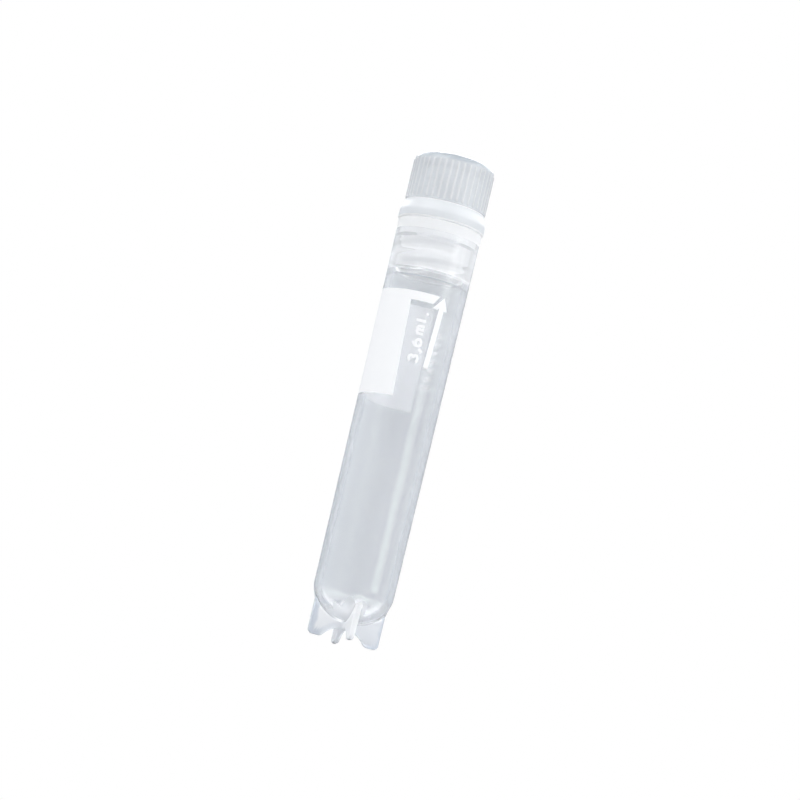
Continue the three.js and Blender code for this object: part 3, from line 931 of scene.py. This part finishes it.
class Shader:
    """A node tree, emptied and then filled."""

    def __init__(self, tree):
        self.tree = tree
        tree.nodes.clear()

    def node(self, kind, settings=None, sockets=None, output=0):
        """Adds a node of any type. Its settings are set first, a ramp's stops among them, and then the
        values or links of its sockets, by name or by number. Returns one of its outputs, likewise."""
        node = self.tree.nodes.new(kind)
        for key, value in (settings or {}).items():
            if key == "stops":
                set_stops(node.color_ramp, value)
            else:
                setattr(node, key, value)
        for key, value in (sockets or {}).items():
            socket = socket_of(node.inputs, key)
            if isinstance(value, Value):
                self.tree.links.new(value.socket, socket)
            elif socket.type == "RGBA":
                socket.default_value = (*value, 1)
            else:
                socket.default_value = value
        return Value(self, socket_of(node.outputs, output)) if node.outputs else None

    def mixed(self, factor, a, b):
        """A colour between a and b by the factor."""
        sockets = {"Factor": factor, "A": a, "B": b}
        return self.node("ShaderNodeMix", {"data_type": "RGBA"}, sockets, "Result")

    def noise(self, size, detail, stretch=PLAIN):
        """Clouds from 0 to 1 over the object's own coordinates, about as large as the size, stretched by the
        factors along each axis."""
        place = self.node("ShaderNodeTexCoord", output="Object")
        scale = tuple(1 / s for s in stretch)
        place = self.node("ShaderNodeMapping", {}, {"Vector": place, "Scale": scale})
        sockets = {"Vector": place, "Scale": 1 / size, "Detail": detail}
        return self.node("ShaderNodeTexNoise", {}, sockets, "Fac")

    def relief(self, bumps, distance, strength=1.0):
        """A normal that leans with the slopes of the bumps, which are as high as the distance."""
        sockets = {"Strength": strength, "Distance": distance, "Height": bumps}
        return self.node("ShaderNodeBump", {}, sockets, "Normal")

    def light_path(self, kind):
        """1 for a ray of one kind, and 0 for any other."""
        return self.node("ShaderNodeLightPath", output=kind)

    def principled(self, sockets, settings=None):
        return self.node("ShaderNodeBsdfPrincipled", settings, sockets)


def new_material(name, surface):
    """A material whose surface is what the function makes in its emptied node tree."""
    material = bpy.data.materials.new(name)
    material.use_nodes = True
    shader = Shader(material.node_tree)
    shader.node("ShaderNodeOutputMaterial", {}, {"Surface": surface(shader)})
    return material


def polypropylene(name, dark, clear, hazy, transmission, roughness, haze_size):
    """Moulded polypropylene: light passes it as through faintly frosted glass, and the share that does not
    is scattered inside it. Clouds of slow cooling vary its tint, gloss and evenness. The piece's own shade
    attribute paints shade, towards the dark colour, and below 0 paints light, towards white."""

    def surface(shader):
        clouds = shader.noise(haze_size, 3.0, (1, 1, 2.5))
        grain = shader.noise(0.35 * MM, 2.0)
        waves = shader.noise(3.0 * MM, 1.0, (1, 1, 3))
        shade = shader.node("ShaderNodeAttribute", {"attribute_name": "shade"}, output="Fac")
        # Painted shade where the shade attribute is above 0, and painted light, white, where it is below 0
        tint = shader.mixed(shade.larger(0), shader.mixed(clouds, clear, hazy), dark)
        return shader.principled(
            {
                "Base Color": shader.mixed((-1 * shade).larger(0), tint, PLAIN),
                "Roughness": roughness + clouds * 0.02 + grain * 0.02,
                "IOR": 1.49,
                "Transmission Weight": transmission,
                "Normal": shader.relief(waves * 0.1 + grain * 0.3, MICRON),
            }
        )

    return new_material(name, surface)


def silicone(name, pale, dense):
    """Cured silicone: soft, waxy and scattering, with a fine dull grain."""

    def surface(shader):
        clouds = shader.noise(1.2 * MM, 3.0)
        grain = shader.noise(0.12 * MM, 2.0)
        return shader.principled(
            {
                "Base Color": shader.mixed(clouds, pale, dense),
                "Roughness": 0.4 + grain * 0.15,
                "IOR": 1.41,
                "Subsurface Weight": 1.0,
                "Subsurface Radius": (1.0, 1.0, 1.0),
                "Subsurface Scale": 0.8 * MM,
                "Normal": shader.relief(grain, 6 * MICRON, 0.5),
            },
            {"subsurface_method": "RANDOM_WALK"},
        )

    return new_material(name, surface)


def screen_ink(name, full, thin):
    """Screen-printed ink: nearly matt, a little thinner in patches, with the mesh's fine texture."""

    def surface(shader):
        patches = shader.noise(1.6 * MM, 4.0)
        mesh = shader.noise(0.09 * MM, 1.0)
        return shader.principled(
            {
                "Base Color": shader.mixed(patches, full, thin),
                "Roughness": 0.45 + mesh * 0.2,
                "IOR": 1.45,
                "Normal": shader.relief(mesh, 4 * MICRON, 0.4),
            }
        )

    return new_material(name, surface)


# --- Stage --------------------------------------------------------------------


# What glass and gloss see of the studio, from straight below (0) over the horizon (0.5) to overhead (1):
# a dim table with a lighter band over it, a grey surround at the camera's height, and the tent's white top
STUDIO_BANDS = (
    (0.0, (0.35, 0.36, 0.37)),
    (0.18, (0.45, 0.46, 0.47)),
    (0.25, (0.55, 0.57, 0.59)),
    (0.36, (0.50, 0.52, 0.54)),
    (0.45, (0.355, 0.387, 0.428)),
    (0.55, (0.355, 0.387, 0.428)),
    (0.605, (0.485, 0.515, 0.555)),
    (0.64, (0.56, 0.58, 0.60)),
    (0.70, (2.45, 2.45, 2.45)),
    (0.80, (2.45, 2.45, 2.45)),
    (0.88, (0.7, 0.7, 0.7)),
    (1.0, (0.4, 0.41, 0.42)),
)
SURROUND = (0.68, 0.69, 0.70)  # what matt surfaces see of it
PANEL_TURN = math.radians(-87)  # from the view to the tent's panels
PANEL_LIFT = 1.42  # the most that the tent is lighter between its panels
BOUNCES = 48  # enough for light that crosses wall after wall of clear plastic

# Azimuth and elevation in degrees, distance, width and height in metres, and power in watts
LAMPS = {
    "key_lamp": (-60, 40, 0.7, 0.5, 0.5, 2.3),
    "fill_lamp": (60, 32, 0.7, 0.5, 0.5, 1.5),
    "back_lamp": (170, 40, 0.7, 0.5, 0.5, 1.7),
    "strip_lamp": (46.5, 9.7, 0.6, 0.26, 0.6, 0.7),
}


def studio_world(scene, azimuth):
    """The surroundings: plain white to the camera, and to glass and gloss the tent's bands by height,
    lighter between its four panels. With a the angle from a panel, cos 2a is (x² − y²) / (1 − z²), and the
    bands are multiplied by 2 − cos² 2a, or by the panels' lift where that is less."""
    world = bpy.data.worlds.new("studio")
    scene.world = world
    world.use_nodes = True
    shader = Shader(world.node_tree)
    place = shader.node("ShaderNodeTexCoord", output="Generated")
    rotation = (0, 0, PANEL_TURN - azimuth)
    turned = shader.node("ShaderNodeMapping", {}, {"Vector": place, "Rotation": rotation})
    x, y, z = (shader.node("ShaderNodeSeparateXYZ", {}, {0: turned}, axis) for axis in "XYZ")
    double = (x * x - y * y) / (1.0001 - z * z)  # just over 1, so that nothing is divided by 0 at the poles
    lift = (2 - double * double).smaller(PANEL_LIFT)
    tent = shader.node("ShaderNodeValToRGB", {"stops": STUDIO_BANDS}, {"Fac": z * 0.5 + 0.5})
    tent = shader.node("ShaderNodeVectorMath", {"operation": "SCALE"}, {0: tent, "Scale": lift})
    seen = shader.light_path("Is Glossy Ray").larger(shader.light_path("Is Transmission Ray"))
    lit = shader.mixed(seen, SURROUND, tent)
    shown = shader.mixed(shader.light_path("Is Camera Ray"), lit, PLAIN)
    background = shader.node("ShaderNodeBackground", {}, {"Color": shown, "Strength": 1.0})
    shader.node("ShaderNodeOutputWorld", {}, {"Surface": background})


def floor_material(floor, bounced, radius):
    """A pale matt floor that fades out towards its rim, and that nothing under it sees."""
    fade_start, fade_end = 0.2 * radius, 0.98 * radius
    worn, wear = (0.8, 0.8, 0.8), 0.1

    def surface(shader):
        place = shader.node("ShaderNodeTexCoord", output="Object")
        away = shader.node("ShaderNodeVectorMath", {"operation": "LENGTH"}, {0: place}, "Value")
        fade = shader.node(
            "ShaderNodeMapRange",
            {"interpolation_type": "SMOOTHSTEP"},
            {"Value": away, "From Min": fade_start, "From Max": fade_end},
        )
        gone = fade.larger(shader.node("ShaderNodeNewGeometry", output="Backfacing"))
        paint = shader.mixed(shader.noise(2 * MM, 3.0) * wear, floor, worn)
        seen = shader.mixed(shader.light_path("Is Camera Ray"), bounced, paint)
        matt = shader.node("ShaderNodeBsdfDiffuse", {}, {"Color": seen})
        clear = shader.node("ShaderNodeBsdfTransparent")
        return shader.node("ShaderNodeMixShader", {}, {0: gone, 1: matt, 2: clear})

    return new_material("pale_floor", surface)


def outward(azimuth, elevation):
    """The unit vector from the vial to a place round it, from −Y towards +X, and over the horizon."""
    level = math.cos(elevation)
    return Vector((math.sin(azimuth) * level, -math.cos(azimuth) * level, math.sin(elevation)))


def add_floor(radius, material):
    """A flat disc in the plane of the foot pads."""
    turn = full_turn(96)
    points = np.stack([radius * np.cos(turn), radius * np.sin(turn), 0 * turn], 1)
    mesh = bpy.data.meshes.new("floor")
    mesh.from_pydata(points.tolist(), [], [list(range(len(turn)))])
    mesh.materials.append(material)
    return added("floor", mesh)


def add_softbox(name, azimuth, elevation, distance, width, tall, watts):
    """A rectangular lamp on a sphere about the vial's middle, facing it. The camera does not see it."""
    light = bpy.data.lights.new(name, "AREA")
    light.shape, light.size, light.size_y, light.energy = "RECTANGLE", width, tall, watts
    lamp = added(name, light)
    out = outward(math.radians(azimuth), math.radians(elevation))
    lamp.rotation_mode = "QUATERNION"
    lamp.rotation_quaternion = out.to_track_quat("Z", "Y")
    lamp.location = MIDDLE + out * distance
    lamp.visible_camera = False


def add_camera(stage):
    """The camera, on a sphere about the vial's middle. Its right and up turn by the roll about the view."""
    back = outward(stage.azimuth, stage.elevation)
    right = Vector((math.cos(stage.azimuth), math.sin(stage.azimuth), 0))
    up = back.cross(right)
    turned_up = math.cos(stage.roll) * up - math.sin(stage.roll) * right
    turned_right = math.cos(stage.roll) * right + math.sin(stage.roll) * up
    data = bpy.data.cameras.new("camera")
    data.lens, data.sensor_width, data.sensor_fit = stage.lens, 36, "AUTO"
    data.clip_start, data.clip_end = 0.01, 10
    camera = added("camera", data)
    place = MIDDLE + right * stage.side_step + back * stage.distance
    axes = Matrix((turned_right, turned_up, back)).transposed()
    camera.matrix_world = Matrix.Translation(place) @ axes.to_4x4()
    bpy.context.scene.camera = camera


# --- Operators ----------------------------------------------------------------


def inside_box(piece):
    """Stops with an error if the piece reaches outside the whole object's size."""
    spare = 1 * MICRON
    low, high = np.array(CAD_BOX[0]) - spare, np.array(CAD_BOX[1]) + spare
    corners = np.array([piece.matrix_world @ Vector(c) for c in piece.bound_box])
    if (corners < low).any() or (corners > high).any():
        raise RuntimeError(f"{piece.name} reaches outside the vial's own size")


class CRYOVIAL_OT_stage(bpy.types.Operator):
    """Adds the camera, the pale floor, the lamps and the surroundings"""

    bl_idname = "cryovial.stage"
    bl_label = "Stage"

    def execute(self, context):
        scene = context.scene
        stage, finishes = scene.cryovial_stage, scene.cryovial_finishes
        scene.view_settings.view_transform = "Standard"
        scene.cycles.max_bounces = scene.cycles.transmission_bounces = BOUNCES
        scene.cycles.diffuse_bounces = scene.cycles.glossy_bounces = BOUNCES
        scene.cycles.blur_glossy = 0
        add_camera(stage)
        studio_world(scene, stage.azimuth)
        for name, lamp in LAMPS.items():
            add_softbox(name, *lamp)
        paint = floor_material(finishes.floor, finishes.floor_bounce, stage.floor_radius)
        floor = add_floor(stage.floor_radius, paint)
        return {"FINISHED"}


class CRYOVIAL_OT_tube(bpy.types.Operator):
    """Adds the moulded tube with its star foot and threaded neck"""

    bl_idname = "cryovial.tube"
    bl_label = "Tube"

    def execute(self, context):
        scene = context.scene
        finishes = scene.cryovial_finishes
        rows, poles, finish, shade = tube_surface(scene.cryovial_tube, scene.cryovial_thread)
        # Clear and hazy colour, transmission, roughness and size of the haze, in the order of the finishes
        looks = {
            "natural_polypropylene": (finishes.tube, finishes.tube_haze, 0.88, 0.09, 6 * MM),
            "natural_polypropylene_milky": (finishes.fin, finishes.fin, 0.3, 0.2, 3 * MM),
            "natural_polypropylene_neck": (finishes.neck, finishes.neck, 0.5, 0.6, 6 * MM),
            "natural_polypropylene_streaks": (finishes.fin, finishes.fin, 0.7, 0.2, 3 * MM),
        }
        # finishes.edge is the painted shade colour along the blades' outlines
        plastics = [polypropylene(name, finishes.edge, *look) for name, look in looks.items()]
        piece = closed_turning("vial_moulding", rows, plastics, poles, finish, shade)
        inside_box(piece)
        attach(piece, "vial")
        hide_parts("vial_tube")
        return {"FINISHED"}


class CRYOVIAL_OT_cap(bpy.types.Operator):
    """Adds the screw cap with its ribbed head and hollow stem"""

    bl_idname = "cryovial.cap"
    bl_label = "Cap"

    def execute(self, context):
        scene = context.scene
        finishes = scene.cryovial_finishes
        rows, poles, finish, shade = cap_surface(scene.cryovial_cap, scene.cryovial_thread)
        looks = {
            "cap_polypropylene": (finishes.cap, finishes.cap_haze, 0.5, 0.22, 4 * MM),
            "cap_polypropylene_stem": (finishes.stem, finishes.stem, 0.2, 0.35, 4 * MM),
        }
        # The cap's painted shade colour, between the ribs, at the top edge and on the flange
        plastics = [polypropylene(name, finishes.painted_shade, *look) for name, look in looks.items()]
        piece = closed_turning("cap_moulding", rows, plastics, poles, finish, shade)
        inside_box(piece)
        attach(piece, "cap")
        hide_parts("screw_cap")
        return {"FINISHED"}


class CRYOVIAL_OT_seal(bpy.types.Operator):
    """Adds the silicone sealing ring on the cap's stem"""

    bl_idname = "cryovial.seal"
    bl_label = "Sealing ring"

    def execute(self, context):
        scene = context.scene
        finishes = scene.cryovial_finishes
        material = silicone("silicone", finishes.seal, finishes.seal_haze)
        piece = closed_turning("sealing_ring", seal_surface(scene.cryovial_seal), [material])
        inside_box(piece)
        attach(piece, "seal")
        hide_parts("gasket")
        return {"FINISHED"}


class CRYOVIAL_OT_print(bpy.types.Operator):
    """Adds the white print: writing field, fill line, arrow, volume mark and graduations"""

    bl_idname = "cryovial.print"
    bl_label = "Print"

    def execute(self, context):
        scene = context.scene
        tube, ink, finishes = scene.cryovial_tube, scene.cryovial_print, scene.cryovial_finishes
        material = screen_ink("white_ink", finishes.ink, finishes.thin_ink)
        prints = {
            "writing_field": field_strips,
            "fill_line": fill_line_strips,
            "volume_mark": volume_mark_strips,
            "graduations": graduation_strips,
        }
        for name, strips in prints.items():
            piece = ink_piece(name, strips(tube, ink), material)
            inside_box(piece)
            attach(piece, "vial")
        return {"FINISHED"}


class CRYOVIAL_PT_sidebar(bpy.types.Panel):
    """Lists the pieces in the order that they are added"""

    bl_idname = "CRYOVIAL_PT_sidebar"
    bl_label = "Cryogenic Vial"
    bl_space_type = "VIEW_3D"
    bl_region_type = "UI"
    bl_category = "Cryovial"

    def draw(self, context):
        column = self.layout.column(align=True)
        for operator in OPERATORS:
            column.operator(operator.bl_idname)


OPERATORS = (CRYOVIAL_OT_stage, CRYOVIAL_OT_tube, CRYOVIAL_OT_cap, CRYOVIAL_OT_seal, CRYOVIAL_OT_print)


def register():
    for kind in (*GROUPS.values(), *OPERATORS, CRYOVIAL_PT_sidebar):
        bpy.utils.register_class(kind)
    for name, kind in GROUPS.items():
        setattr(bpy.types.Scene, name, PointerProperty(type=kind))


def unregister():
    for name in GROUPS:
        delattr(bpy.types.Scene, name)
    for kind in (CRYOVIAL_PT_sidebar, *OPERATORS[::-1], *list(GROUPS.values())[::-1]):
        bpy.utils.unregister_class(kind)


def main():
    """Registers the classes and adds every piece."""
    register()
    bpy.ops.cryovial.stage()
    bpy.ops.cryovial.tube()
    bpy.ops.cryovial.cap()
    bpy.ops.cryovial.seal()
    bpy.ops.cryovial.print()


if __name__ == "__main__":
    main()
